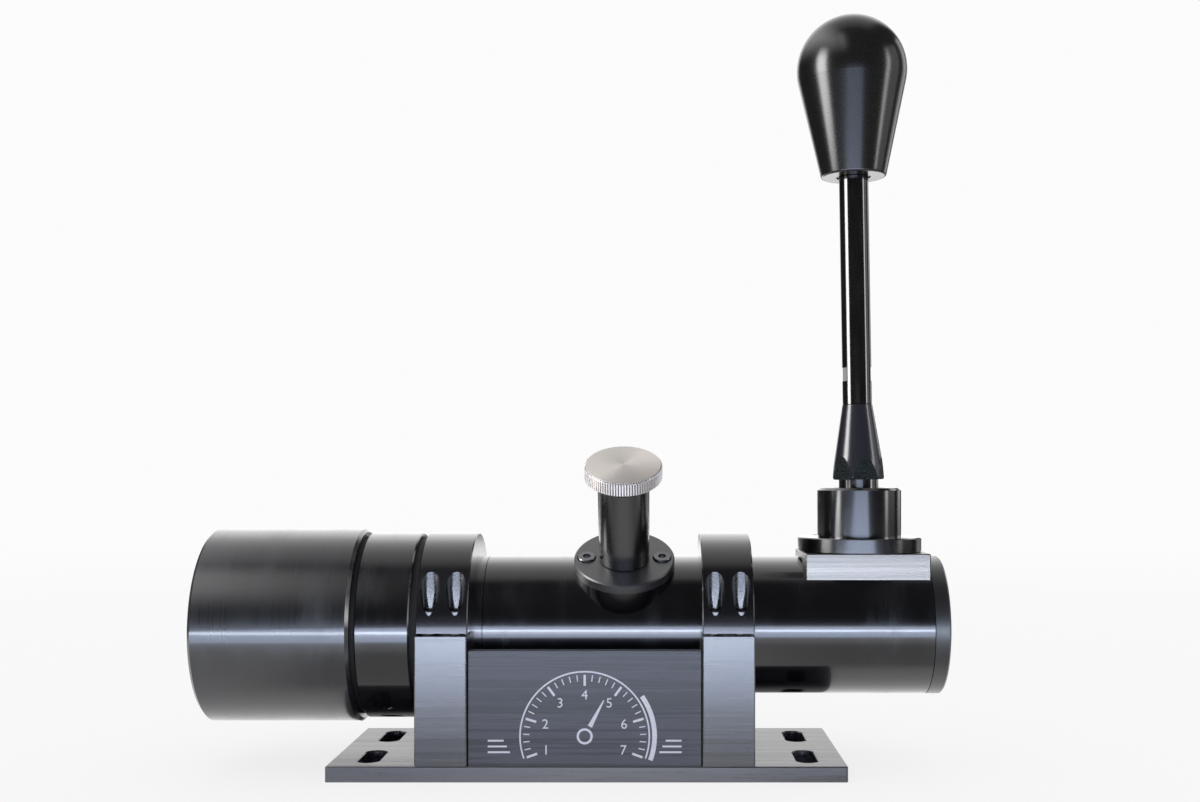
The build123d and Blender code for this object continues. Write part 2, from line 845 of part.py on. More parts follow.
def board_screws():
    """The sensor board's four screws."""
    return group(at_each(board_screw_places(), cap_screw(
        board_screw_length, m3_radius, m3_head_radius, m3_head_height, m3_key)))


def adjuster_flange():
    """The round foot of the adjuster, cut to sit on the tube."""
    low = adjuster_flange_top - adjuster_flange_depth
    foot = bar_z(low, adjuster_flange_top, adjuster_flange_radius)
    foot = chamfer(foot.edges().filter_by(GeomType.CIRCLE).sort_by(Axis.Z)[-1], adjuster_edge)
    foot -= bar_z(low - overrun, adjuster_flange_top + overrun, post_spigot_radius + seat_gap)
    foot = adjuster_place * foot
    foot -= bar_x(tube_left, tube_right, tube_radius + seat_gap)
    for place in adjuster_screw_places():
        foot -= place * bar_z(-adjuster_screw_length - overrun, overrun, m4_radius + screw_gap)
        foot -= place * bar_z(0, overrun, adjuster_pocket_radius)
    return foot


def adjuster_screws():
    """The adjuster's two low screws."""
    return group(at_each(adjuster_screw_places(), cap_screw(
        adjuster_screw_length, m4_radius, m4_head_radius, m4_low_head_height, m4_key)))


def adjuster_post():
    """The upright sleeve that holds the detent spring."""
    post = bar_z(adjuster_flange_top, post_top, post_radius)
    post = chamfer(post.edges().filter_by(GeomType.CIRCLE), post_edge)
    spigot_foot = adjuster_flange_top - post_spigot_length
    post += bar_z(spigot_foot, adjuster_flange_top + post_edge, post_spigot_radius)
    post -= bar_z(spigot_foot - overrun, chamber_top, chamber_radius)
    post -= bar_z(chamber_top, post_top + overrun, thumb_shank_radius + running_gap)
    return adjuster_place * post


def plunger_guide():
    """The bronze sleeve in which the detent plunger slides."""
    low = guide_top - guide_length
    sleeve = bar_z(low, guide_top, chamber_radius - seat_gap)
    return adjuster_place * (sleeve - bar_z(low, guide_top, plunger_radius + running_gap))


def detent_plunger():
    """The plunger whose nose drops into the selector rod's groove."""
    tip = rod_radius + plunger_clearance
    shoulder = tip + plunger_radius - plunger_tip_radius
    body = cone_z(tip, shoulder, plunger_tip_radius, plunger_radius)
    body += bar_z(shoulder, plunger_seat, plunger_radius)
    body += bar_z(plunger_seat, spring_foot, plunger_head_radius)
    body += bar_z(spring_foot, spring_foot + spring_pin_length, spring_pin_radius)
    return adjuster_place * body


def detent_spring():
    """The spring that presses on the plunger."""
    return adjuster_place * coil(
        spring_foot, seat_foot, detent_spring_radius, detent_wire_radius, detent_spring_turns)


def spring_seat():
    """The button between the spring and the thumb screw."""
    seat = bar_z(seat_foot, seat_top, seat_radius)
    return adjuster_place * (seat + bar_z(seat_foot - spring_pin_length, seat_foot, spring_pin_radius))


def thumb_screw():
    """The knurled thumb screw, with fine upright ribs on its rim."""
    top = thumb_foot + thumb_height
    points = []
    for i in range(rib_count):
        for radius, step in ((thumb_radius, 0), (thumb_radius - rib_depth, 0.5)):
            turn = radians(360 * (i + step) / rib_count)
            points.append((radius * cos(turn), radius * sin(turn)))
    ribbed = Pos(0, 0, thumb_foot) * extrude(make_face(Polyline(points, close=True)), thumb_height)
    head = ribbed & edged(bar_z(thumb_foot, top, thumb_radius), thumb_edge)
    return adjuster_place * (head + bar_z(seat_top, thumb_foot, thumb_shank_radius))


front_bump_left = piston_right + selector_travel + bump_margin
rear_bump_right = piston_left - selector_travel - bump_margin

nodes = {
    "base_plate": base_plate(),
    "left_clamp_base": clamp_base(left_clamp_x),
    "right_clamp_base": clamp_base(right_clamp_x),
    "left_clamp_cap": clamp_cap(left_clamp_x),
    "right_clamp_cap": clamp_cap(right_clamp_x),
    "clamp_screws": clamp_screws(),
    "base_screws": base_screws(),
    "front_panel": panel(-1),
    "rear_panel": panel(1),
    "panel_screws": panel_screws(),
    "main_tube": main_tube(),
    "housing_flange": housing_flange(),
    "housing_seal": housing_seal(),
    "clamp_seal": clamp_seal(),
    "spring_housing": spring_housing(),
    "end_cap": end_cap(),
    "end_cap_screws": end_cap_screws(),
    "saddle_block": saddle_block(),
    "turret": turret(),
    "ball_race": ball_race(),
    "turret_screws": turret_screws(),
    "pivot_ball": pivot_ball(),
    "pivot_pins": pivot_pins(),
    "lever_stud": lever_stud(),
    "cone_nut": cone_nut(),
    "lever_rod": lever_rod(),
    "knob_insert": knob_insert(),
    "gear_knob": gear_knob(),
    "selector_rod": selector_rod(),
    "rear_bush": bush(rear_bush_left, rear_bush_right),
    "front_bush": bush(carrier_left, carrier_right),
    "front_carrier": front_carrier(),
    "carrier_screw": carrier_screw(),
    "spring_piston": spring_piston(),
    "piston_pin": piston_pin(),
    "front_return_spring": return_spring(piston_right, flange_wall_left, front_spring_turns),
    "rear_return_spring": return_spring(retainer_right, piston_left, rear_spring_turns),
    "front_bump_stop": bump_stop(front_bump_left, flange_wall_left),
    "rear_bump_stop": bump_stop(retainer_right, rear_bump_right),
    "spring_retainer": spring_retainer(),
    "magnet": magnet(),
    "sensor_board": sensor_board(),
    "hall_sensor": hall_sensor(),
    "usb_socket": usb_socket(),
    "board_screws": board_screws(),
    "adjuster_flange": adjuster_flange(),
    "adjuster_screws": adjuster_screws(),
    "adjuster_post": adjuster_post(),
    "plunger_guide": plunger_guide(),
    "detent_plunger": detent_plunger(),
    "detent_spring": detent_spring(),
    "spring_seat": spring_seat(),
    "thumb_screw": thumb_screw(),
}

os.makedirs("parts", exist_ok=True)
for name, solid in nodes.items():
    export_step(solid, f"parts/{name}.step")
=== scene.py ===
import math

import bmesh
import bpy
from mathutils import Matrix, Vector


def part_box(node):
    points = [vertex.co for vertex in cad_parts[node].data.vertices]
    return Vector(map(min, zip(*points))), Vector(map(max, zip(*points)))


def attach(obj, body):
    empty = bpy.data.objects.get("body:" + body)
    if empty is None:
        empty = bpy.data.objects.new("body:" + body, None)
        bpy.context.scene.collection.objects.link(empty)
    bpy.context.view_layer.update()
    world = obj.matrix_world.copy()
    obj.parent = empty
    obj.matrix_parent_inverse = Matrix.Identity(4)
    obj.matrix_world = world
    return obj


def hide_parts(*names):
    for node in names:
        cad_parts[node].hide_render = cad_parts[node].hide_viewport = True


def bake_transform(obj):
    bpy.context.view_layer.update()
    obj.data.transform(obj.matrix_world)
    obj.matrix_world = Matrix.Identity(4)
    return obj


# The shifter's own places, in metres
TUBE_HEIGHT = 0.056
CLAMP_RADIUS = 0.0375
LEVER_FOOT = (0.110, 0.0, 0.102)
LEVER_LEAN = math.radians(0.95)
POST_FOOT = (0.014, 0.0, TUBE_HEIGHT)
POST_TILT = math.radians(30)
POST_PLACE = Matrix.Translation(POST_FOOT) @ Matrix.Rotation(POST_TILT, 4, "X")
TUBE_LINE = ((0.0, 0.0, TUBE_HEIGHT), (1.0, 0.0, 0.0))
TURRET_LINE = (LEVER_FOOT, (0.0, 0.0, 1.0))
LEVER_LINE = (LEVER_FOOT, (-math.sin(LEVER_LEAN), 0.0, math.cos(LEVER_LEAN)))
POST_LINE = (POST_FOOT, (0.0, -math.sin(POST_TILT), math.cos(POST_TILT)))
SCREW_LINE = ((0.0, 0.0, 0.0), (0.0, 0.0, 1.0))

# Nodes whose place the scene's own pieces take
REPLACED = {"thumb_screw", "front_return_spring", "rear_return_spring", "detent_spring"}

# Tints: even, and the blue that black anodising keeps
EVEN = (1.0, 1.0, 1.0)
COOL = (0.88, 0.92, 1.35)

# Camera, fitted to the photograph
CAMERA_PLACE = (0.0249, -0.5647, 0.1180)
CAMERA_SENSOR = 36.0
CAMERA_LENS = 41.27
CAMERA_SHIFT = (-0.0431, 0.0601)
CAMERA_NEAR = 0.01

# Floor, as the camera and dull faces see it, in metres, with a painted shadow under the plate; a pair says
# where a fade starts and where it ends
WHITE = (0.97, 0.97, 0.97, 1.0)
FLOOR_HALF = 4.0
FLOOR_DROP = 0.0001
FLOOR_GLOW = 0.80
FLOOR_SHADE = 0.19
FLOOR_BOUNCE = 0.8
FLOOR_FADE = (0.35, 1.9)
PLATE_SHADOW_REACH = {"X": 0.1, "Y": 0.04}
PLATE_SHADOW_EDGE = 0.004

# Floor, as polished faces see it: its level, where its parts of painted light and shade fade in, and how
# each part changes it
FLOOR_MIRRORED = 1.05
ASIDE_REACH = (0.4, 0.8)
ASIDE_SLOPE = (0.75, 0.5)
ASIDE_LEAST = 0.01
BACK_NEAR = (1.5, 2.2)
MIDDLE_NEAR = (0.50, 0.70)
MIDDLE_FAR = (1.25, 1.0)
FLAG_REACH = (0.30, 0.44)
FLAG_NEAR = (0.10, 0.22)
POOL_OFF_POST = (0.015, 0.10)
POOL_LEFT = (-0.15, -0.11)
POOL_NEAR = (-0.16, -0.11)
POOL_FAR = (-0.03, -0.05)
FLOOR_LIGHT_AND_SHADE = {"aside": -0.92, "back": -0.75, "middle": 2.5, "flag": -0.85, "pool": -0.42}

# Sky: plain for dull faces, and for polished ones graded from front to rear, with a haze and a crown
PLAIN_LIGHT = 0.9
SKY_FILL = 0.03
SKY_STRENGTH = 2.0
SKY_STOPS = [(0.0, 0.0), (0.43, 0.01), (0.50, 0.27), (0.60, 0.4), (0.70, 0.58), (0.77, 0.8), (1.0, 0.62)]
SKY_SIDES = (0.50, 0.31)
HAZE_STRENGTH = 2.4
HAZE_LEFT = (0.16, 0.4)
HAZE_LOW = (0.10, 0.30)
HAZE_HIGH = (0.47, 0.34)
CROWN_STRENGTH = 3.0
CROWN_LEFT = (0.24, 0.62)
CROWN_RISE = (0.30, 0.85)

# Light panels: how high the boxes at the right reach, and how boxes fade to their foot, sides and top
BOX_HEIGHTS = (0.04, 0.9)
BOX_FADE = {"foot": 0.2, "reach": 0.14}
SOFT_BOX_FADE = {**BOX_FADE, "side": 0.30, "top": 0.3}
TOP_FADE = (1.0, 0.5)

# Finishes: the skin of sealed aluminium, relief in metres, and where noise turns into tone
SEAL_IOR = 1.45
RING_PITCH = 0.0004
FAINT_MARKS = 0.0000012
LIGHT_MARKS = 0.0000015
DEEP_MARKS = 0.000002
OXIDE_GRAIN = 0.000003
SKIN_GRAIN = 0.000004
PANEL_LINES = 0.000004
ROD_RIPPLE = 0.00003
SPECKS = (0.3, 0.7)
PATCHES = (0.3, 0.75)
TONES = (0.1, 0.9)
POCKET_DEPTH = (CLAMP_RADIUS - 0.0002, CLAMP_RADIUS - 0.0004)
POCKET_FACING = (0.65, 0.5)
FLAT_FACING = (0.10, 0.05)
DISC_HEIGHT = (0.0288, 0.0291)

# The thumb screw's bright metal, with a painted highlight in the lighter colour of its ribs and painted
# shade in the dark colour of its valleys: where its ribs start and its valleys lie, in metres off its axis
RIBS_START = (0.01425, 0.01445)
VALLEY_START = (0.01440, 0.01452)
VALLEY_END = (0.01482, 0.01462)
BRIGHT = ((0.52, 0.475, 0.455, 1.0), (0.49, 0.465, 0.435, 1.0))
RIB_HIGHLIGHT = (0.60, 0.565, 0.54, 1.0)
VALLEY_SHADE = (0.22, 0.19, 0.18, 1.0)


class Value:
    """A number that varies over a surface, wrapped so that it takes part in sums."""

    def __init__(self, shader, socket):
        self.shader = shader
        self.socket = socket

    def out(self, name):
        return Value(self.shader, self.socket.node.outputs[name])

    def maths(self, operation, *terms):
        return self.shader.add("ShaderNodeMath", {"operation": operation}, dict(enumerate(terms)))

    def __add__(self, other):
        return self.maths("ADD", self, other)

    def __sub__(self, other):
        return self.maths("SUBTRACT", self, other)

    def __rsub__(self, other):
        return self.maths("SUBTRACT", other, self)

    def __mul__(self, other):
        return self.maths("MULTIPLY", self, other)

    def __truediv__(self, other):
        return self.maths("DIVIDE", self, other)

    __radd__ = __add__
    __rmul__ = __mul__

    def size(self):
        return self.maths("ABSOLUTE", self)

    def swing(self, reach):
        """Noise about its own middle, over as wide a reach."""
        return reach * (self - 0.5)

    def ramp(self, low, high):
        """0 below low, 1 above high and smooth between them, or the other way round."""
        inputs = {"Value": self, "From Min": low, "From Max": high}
        return self.shader.add("ShaderNodeMapRange", {"interpolation_type": "SMOOTHSTEP"}, inputs)


class Shader:
    """The nodes of one finish or of the world."""

    def __init__(self, owner):
        owner.use_nodes = True
        self.tree = owner.node_tree
        self.tree.nodes.clear()

    def add(self, kind, settings=None, inputs=None, output=0):
        node = self.tree.nodes.new(kind)
        for name, value in (settings or {}).items():
            if name == "stops":
                self.set_stops(node.color_ramp, value)
            else:
                setattr(node, name, value)
        for name, value in (inputs or {}).items():
            if isinstance(value, Value):
                self.tree.links.new(value.socket, node.inputs[name])
            else:
                node.inputs[name].default_value = value
        return Value(self, node.outputs[output]) if len(node.outputs) else None

    def set_stops(self, ramp, stops):
        """Sets the grey levels of a ramp whose first and last stops are at its ends."""
        for place, _ in stops[1:-1]:
            ramp.elements.new(place)
        for element, (_, level) in zip(ramp.elements, stops):
            element.color = (level, level, level, 1.0)

    def vector(self, operation, *terms):
        """A sum of vectors, where a length and a dot product are plain numbers."""
        output = "Value" if operation in ("LENGTH", "DOT_PRODUCT") else "Vector"
        return self.add("ShaderNodeVectorMath", {"operation": operation}, dict(enumerate(terms)), output)

    def mix(self, share, first, second):
        settings = {"data_type": "RGBA"}
        return self.add("ShaderNodeMix", settings, {0: share, 6: first, 7: second}, output=2)

    def seen(self):
        """Two values: 1 for what the camera sees, and 1 for what a mirror or glass sees."""
        path = self.add("ShaderNodeLightPath")
        mirrored = path.maths("MAXIMUM", path.out("Is Glossy Ray"), path.out("Is Transmission Ray"))
        return path.out("Is Camera Ray"), mirrored


class Finish(Shader):
    """One material, with the patterns that machining leaves."""

    def __init__(self, name):
        self.material = bpy.data.materials.new(name)
        super().__init__(self.material)
        self.place = self.add("ShaderNodeTexCoord", output="Object")

    def stretched(self, stretch, detail=3.0, roughness=0.6):
        """Noise that is drawn out along an axis, where stretch gives its grains per metre."""
        place = self.vector("MULTIPLY", self.place, stretch)
        inputs = {"Vector": place, "Scale": 1.0, "Detail": detail, "Roughness": roughness}
        return self.add("ShaderNodeTexNoise", inputs=inputs)

    def along(self, line):
        """How far along a centre line a place lies."""
        foot, way = line
        return self.vector("DOT_PRODUCT", self.vector("SUBTRACT", self.place, foot), way)

    def radius(self, line):
        """How far off a centre line a place lies."""
        foot, way = line
        across = self.vector("CROSS_PRODUCT", self.vector("SUBTRACT", self.place, foot), way)
        return self.vector("LENGTH", across)

    def turned(self, line, pitch=RING_PITCH, detail=2.0):
        """Fine rings round a centre line, on the side of a bar and on its end faces."""
        inputs = {"W": (self.along(line) + self.radius(line)) / pitch, "Scale": 1.0, "Detail": detail}
        return self.add("ShaderNodeTexNoise", {"noise_dimensions": "1D"}, inputs)

    def facing(self, way):
        """How far the surface faces one way, from -1 to 1."""
        return self.vector("DOT_PRODUCT", self.add("ShaderNodeTexCoord", output="Normal"), way)

    def bump(self, height, distance):
        return self.add("ShaderNodeBump", inputs={"Height": height, "Distance": distance})

    def surface(self, **inputs):
        named = {}
        for name, value in inputs.items():
            named[name.replace("_", " ").title().replace("Ior", "IOR")] = value
        skin = self.add("ShaderNodeBsdfPrincipled", inputs=named)
        self.add("ShaderNodeOutputMaterial", inputs={"Surface": skin})
        return self.material


def grey(level, tint=EVEN):
    return (level * tint[0], level * tint[1], level * tint[2], 1.0)


def clamp_finish():
    """The upper clamp halves: turned outside, and left rough where a cutter opened the screw pockets."""
    make = Finish("clamp_cap_anodise")
    rings = make.turned(TUBE_LINE)
    side = make.facing(TUBE_LINE[1]).size()
    pocket = make.radius(TUBE_LINE).ramp(*POCKET_DEPTH) * side.ramp(*POCKET_FACING)
    milled = make.stretched((700.0, 700.0, 1500.0), roughness=0.7)
    colour = make.mix(pocket * milled.ramp(0.4, 0.65), grey(0.0045, COOL), grey(0.05))
    rough = 0.22 + rings.swing(0.08) + pocket * (0.02 + milled.swing(0.45))
    relief = rings * (1 - pocket) + 6 * pocket * milled
    return make.surface(base_color=colour, roughness=rough, ior=1.5, coat_weight=1 - 0.5 * pocket,
                        coat_roughness=0.08, coat_ior=SEAL_IOR, normal=make.bump(relief, FAINT_MARKS))


def foot_finish():
    """The adjuster's foot: a satin disc on a smoother skirt whose darker colour is painted shade."""
    make = Finish("foot_anodise")
    disc = make.along(POST_LINE).ramp(*DISC_HEIGHT)
    rings = make.turned(POST_LINE)
    # Painted shade: the skirt under the disc takes a darker colour than the disc.
    colour = make.mix(disc, grey(0.003, COOL), grey(0.010, COOL))
    rough = 0.20 + 0.20 * disc + rings.swing(0.08)
    return make.surface(base_color=colour, roughness=rough, ior=1.45, coat_weight=disc, coat_roughness=0.34,
                        coat_ior=SEAL_IOR, normal=make.bump(rings, FAINT_MARKS))


def turned_anodise(name, line, level=0.0045, roughness=0.22, sheen=0.08, pitch=RING_PITCH, depth=FAINT_MARKS,
                   gloss=SEAL_IOR):
    """Black anodised aluminium straight off the lathe: a sealed skin over fine rings."""
    make = Finish(name)
    rings = make.turned(line, pitch)
    marks = make.stretched((70.0, 24.0, 24.0), detail=4.0)
    colour = make.mix(marks.ramp(*PATCHES), grey(level * 0.7, COOL), grey(level * 1.5, COOL))
    rough = roughness + rings.swing(0.08) + 0.12 * (marks.ramp(0.45, 0.72) - 0.3)
    return make.surface(base_color=colour, roughness=rough, ior=1.5, coat_weight=1.0, coat_roughness=sheen,
                        coat_ior=gloss, normal=make.bump(rings, depth))


def brushed_anodise(name, grain, level, roughness, spread, depth, streak, ior=1.9):
    """Anodised aluminium brushed one way, where grain gives its lines per metre."""
    make = Finish(name)
    lines = make.stretched(grain, detail=4.0, roughness=0.75)
    bands = make.stretched(tuple(g * 0.15 for g in grain), detail=2.0, roughness=0.5)
    tone = 0.5 + lines.swing(streak) + bands.swing(streak)
    colour = make.mix(tone.ramp(*TONES), grey(level * 0.45, COOL), grey(level * 1.6, COOL))
    rough = roughness + lines.swing(spread) + bands.swing(spread)
    return make.surface(base_color=colour, roughness=rough, ior=ior, normal=make.bump(lines, depth))


def saddle_finish():
    """The saddle block: bare metal under a thin grey skin, with the lines of a flat cutter."""
    make = Finish("saddle_milled")
    lines = make.stretched((9.0, 60.0, 2600.0), roughness=0.7)
    bands = make.stretched((6.0, 40.0, 500.0), detail=2.0, roughness=0.5)
    tone = 0.5 + lines.swing(2.2) + bands.swing(1.6)
    colour = make.mix(tone.ramp(*TONES), (0.120, 0.112, 0.100, 1.0), (0.175, 0.163, 0.146, 1.0))
    rough = 0.27 + lines.swing(0.2)
    relief = make.bump(lines, LIGHT_MARKS)
    return make.surface(base_color=colour, metallic=1.0, roughness=rough, normal=relief)


def cone_finish():
    """The cone nut: turned, with six flats that a cutter left smoother."""
    make = Finish("cone_nut_anodise")
    rings = make.turned(LEVER_LINE, pitch=0.0003)
    flat = make.facing(LEVER_LINE[1]).size().ramp(*FLAT_FACING)
    milled = make.stretched((900.0, 900.0, 3500.0))
    cut = make.mix(milled.ramp(*SPECKS), grey(0.006), grey(0.034, (0.7, 1.1, 1.3)))
    colour = make.mix(flat, grey(0.026, COOL), cut)
    rough = 0.22 + rings.swing(0.05) + flat * (milled.swing(0.16) - 0.06)
    relief = rings * (1 - flat) + 5 * flat * milled
    return make.surface(base_color=colour, roughness=rough, ior=1.5, normal=make.bump(relief, LIGHT_MARKS))


def rod_finish():
    """The lever's polished black rod."""
    make = Finish("polished_black")
    ripple = make.stretched((30.0, 30.0, 18.0), detail=1.0, roughness=0.4)
    marks = make.stretched((300.0, 300.0, 60.0), roughness=0.5)
    colour = make.mix(marks.ramp(0.35, 0.7), grey(0.008), grey(0.014))
    rough = 0.10 + 0.05 * marks.ramp(0.5, 0.8)
    return make.surface(base_color=colour, roughness=rough, ior=1.65, normal=make.bump(ripple, ROD_RIPPLE))


def knob_finish():
    """The knob's satin black skin."""
    make = Finish("satin_black_knob")
    rings = make.turned(LEVER_LINE, pitch=0.0005)
    grain = make.stretched((1600.0, 1600.0, 1600.0), detail=2.0)
    colour = make.mix(grain.ramp(*SPECKS), grey(0.010), grey(0.016))
    rough = 0.20 + grain.swing(0.05) + rings.swing(0.04)
    return make.surface(base_color=colour, roughness=rough, ior=1.45, normal=make.bump(grain, LIGHT_MARKS))


def bright_finish():
    """The thumb screw's turned bright metal, with a painted highlight on its ribs and painted shade in its
    valleys, for a piece whose own axis is upright.
    """
    make = Finish("bright_turned")
    rings = make.turned(SCREW_LINE, pitch=0.0003, detail=3.0)
    tint = make.stretched((90.0, 90.0, 90.0), detail=1.0)
    radius = make.radius(SCREW_LINE)
    ribs = radius.ramp(*RIBS_START)
    valley_shade = radius.ramp(*VALLEY_START) * radius.ramp(*VALLEY_END)
    # Painted highlight: the ribs take a lighter colour than the top. Painted shade: the valleys take a dark
    # colour.
    colour = make.mix(ribs, make.mix(tint.ramp(0.35, 0.65), *BRIGHT), RIB_HIGHLIGHT)
    colour = make.mix(valley_shade, colour, VALLEY_SHADE)
    rough = 0.38 + 0.12 * ribs + rings.swing(0.14)
    return make.surface(base_color=colour, metallic=1.0, roughness=rough, anisotropic=0.6,
                        anisotropic_rotation=0.25, normal=make.bump(rings, DEEP_MARKS))


def metal(name, colour, roughness, line=TUBE_LINE):
    """A turned or ground metal that keeps its own colour."""
    make = Finish(name)
    rings = make.turned(line)
    patch = make.stretched((120.0, 120.0, 120.0))
    dull = tuple(c * 0.82 for c in colour)
    tone = make.mix(patch.ramp(*PATCHES), (*colour, 1.0), (*dull, 1.0))
    rough = roughness + rings.swing(0.12)
    return make.surface(base_color=tone, metallic=1.0, roughness=rough, normal=make.bump(rings, DEEP_MARKS))


def black_oxide():
    """The screws' black oxide."""
    make = Finish("black_oxide")
    grain = make.stretched((2500.0, 2500.0, 2500.0))
    colour = make.mix(grain.ramp(*SPECKS), grey(0.010), grey(0.022))
    rough = 0.26 + grain.swing(0.14)
    return make.surface(base_color=colour, roughness=rough, ior=1.8, normal=make.bump(grain, OXIDE_GRAIN))


def plain_skin(name, colour, roughness, grain=1500.0, ior=1.5):
    """Rubber, plastic or board with a fine grain of its own."""
    make = Finish(name)
    speck = make.stretched((grain, grain, grain))
    dark = tuple(c * 0.75 for c in colour)
    tone = make.mix(speck.ramp(*SPECKS), (*dark, 1.0), (*colour, 1.0))
    rough = roughness + speck.swing(0.1)
    return make.surface(base_color=tone, roughness=rough, ior=ior, normal=make.bump(speck, SKIN_GRAIN))


def mark_finish():
    """Bare metal that a laser has laid open in the panel."""
    make = Finish("etched_marks")
    lines = make.stretched((120.0, 400.0, 9000.0))
    colour = make.mix(lines.ramp(*SPECKS), grey(0.62, COOL), grey(0.78, (0.97, 0.98, 1.0)))
    rough = 0.5 + lines.swing(0.2)
    return make.surface(base_color=colour, roughness=rough, normal=make.bump(lines, DEEP_MARKS))


def paint_nodes(nodes):
    """Gives every node of the frame its finish, apart from those that the scene's own pieces replace."""
    finishes = {
        turned_anodise("tube_anodise", TUBE_LINE): ["main_tube", "housing_flange", "front_carrier"],
        clamp_finish(): ["left_clamp_cap", "right_clamp_cap"],
        turned_anodise("end_cap_anodise", TUBE_LINE, level=0.005, roughness=0.42, sheen=0.30): ["end_cap"],
        turned_anodise("cup_anodise", TUBE_LINE, level=0.010, roughness=0.32, sheen=0.10, pitch=0.0009,
                       depth=DEEP_MARKS): ["spring_housing"],
        turned_anodise("turret_anodise", TURRET_LINE, level=0.004, roughness=0.24,
                       sheen=0.115): ["turret", "pivot_ball"],
        turned_anodise("post_anodise", POST_LINE, level=0.003, roughness=0.27, sheen=0.20,
                       gloss=1.40): ["adjuster_post"],
        foot_finish(): ["adjuster_flange"],
        brushed_anodise("clamp_brushed", (10.0, 60.0, 1800.0), level=0.022, roughness=0.24, spread=0.12,
                        depth=FAINT_MARKS, streak=2.0, ior=1.80): ["left_clamp_base", "right_clamp_base"],
        saddle_finish(): ["saddle_block"],
        brushed_anodise("plate_brushed", (30.0, 1100.0, 1100.0), level=0.03, roughness=0.28, spread=0.2,
                        depth=DEEP_MARKS, streak=2.4): ["base_plate"],
        brushed_anodise("panel_brushed", (30.0, 900.0, 2600.0), level=0.036, roughness=0.40, spread=0.30,
                        depth=PANEL_LINES, streak=5.0, ior=1.45): ["front_panel", "rear_panel"],
        cone_finish(): ["cone_nut"],
        rod_finish(): ["lever_rod"],
        knob_finish(): ["gear_knob"],
        metal("ground_steel", (0.55, 0.56, 0.58), 0.24): [
            "selector_rod", "spring_piston", "piston_pin", "spring_retainer", "board_screws", "lever_stud",
            "detent_plunger", "spring_seat", "pivot_pins"],
        metal("bronze", (0.62, 0.42, 0.2), 0.3): ["rear_bush", "front_bush", "plunger_guide"],
        metal("brass", (0.22, 0.17, 0.085), 0.4, LEVER_LINE): ["knob_insert"],
        black_oxide(): ["clamp_screws", "base_screws", "panel_screws", "turret_screws", "end_cap_screws",
                        "carrier_screw"],
        metal("worn_oxide", (0.17, 0.17, 0.175), 0.28): ["adjuster_screws"],
        plain_skin("black_rubber", (0.005, 0.005, 0.005), 0.7, ior=1.35): [
            "housing_seal", "clamp_seal", "front_bump_stop", "rear_bump_stop"],
        plain_skin("acetal", (0.82, 0.81, 0.77), 0.4): ["ball_race"],
        plain_skin("circuit_green", (0.02, 0.14, 0.06), 0.25, grain=900.0): ["sensor_board"],
        plain_skin("chip_black", (0.02, 0.02, 0.02), 0.45): ["hall_sensor"],
        metal("socket_metal", (0.70, 0.70, 0.72), 0.2): ["usb_socket"],
        metal("magnet_plate", (0.60, 0.60, 0.62), 0.15): ["magnet"],
    }
    left = set(nodes) - REPLACED
    for material, names in finishes.items():
        for name in names:
            left.remove(name)
            for held in nodes[name].material_slots:
                held.material = material
    assert not left, left


def mesh_piece(name, mesh, material):
    piece = bpy.data.objects.new(name, mesh)
    bpy.context.scene.collection.objects.link(piece)
    mesh.materials.append(material)
    return piece


def flat_sheet(name, corners):
    mesh = bpy.data.meshes.new(name)
    mesh.from_pydata(corners, [], [tuple(range(len(corners)))])
    return mesh


def make_floor():
    """A pale floor that keeps the shifter's shadow, with a painted shadow under the plate and painted light
    and shade that only polished faces see.
    """
    material = bpy.data.materials.new("floor")
    make = Shader(material)
    material.cycles.emission_sampling = "NONE"
    camera, mirrored = make.seen()
    place = make.add("ShaderNodeTexCoord", output="Object")
    far = make.vector("LENGTH", place).ramp(*FLOOR_FADE)
    shade = FLOOR_BOUNCE * (1 - camera - mirrored) + FLOOR_SHADE * camera * (1 - far)
    albedo = make.mix(shade, grey(0.0), grey(1.0))
    dull = make.add("ShaderNodeBsdfDiffuse", inputs={"Color": albedo})
    split = make.add("ShaderNodeSeparateXYZ", inputs={0: place})
    # Painted shadow: the floor under the plate gets no glow.
    beside = [split.out(axis).size().ramp(reach - PLATE_SHADOW_EDGE, reach) for axis, reach in PLATE_SHADOW_REACH.items()]
    outside_plate_shadow = beside[0].maths("MAXIMUM", *beside)
    x, y = split.out("X"), split.out("Y")
    aside = x.size()
    off_post = (x - POST_FOOT[0]).size().ramp(*POOL_OFF_POST) * x.ramp(*POOL_LEFT)
    # Painted light and shade that only polished faces see in the floor: darker at the sides, at the flags,
    # far behind and beside the post's line in front, and lighter in a band behind the shifter
    painted_shares = {
        "aside": aside.ramp(*ASIDE_REACH) * (y / (aside + ASIDE_LEAST)).ramp(*ASIDE_SLOPE),
        "back": y.ramp(*BACK_NEAR),
        "middle": y.ramp(*MIDDLE_NEAR) * y.ramp(*MIDDLE_FAR),
        "flag": aside.ramp(*FLAG_REACH) * y.ramp(*FLAG_NEAR),
        "pool": off_post * y.ramp(*POOL_FAR) * y.ramp(*POOL_NEAR),
    }
    mirrored_floor_light = FLOOR_MIRRORED
    for name, share in painted_shares.items():
        mirrored_floor_light = mirrored_floor_light * (1 + FLOOR_LIGHT_AND_SHADE[name] * share)
    paper = camera * (FLOOR_GLOW + (1 - FLOOR_GLOW) * far)
    shine = outside_plate_shadow * (paper + mirrored * mirrored_floor_light)
    glow = make.add("ShaderNodeEmission", inputs={"Color": WHITE, "Strength": shine})
    both = make.add("ShaderNodeAddShader", inputs={0: dull, 1: glow})
    make.add("ShaderNodeOutputMaterial", inputs={"Surface": both})
    near, far = ((-FLOOR_HALF, FLOOR_HALF, end, -FLOOR_DROP) for end in (-FLOOR_HALF, FLOOR_HALF))
    floor = mesh_piece("floor", flat_sheet("floor", lying(near, far)), material)


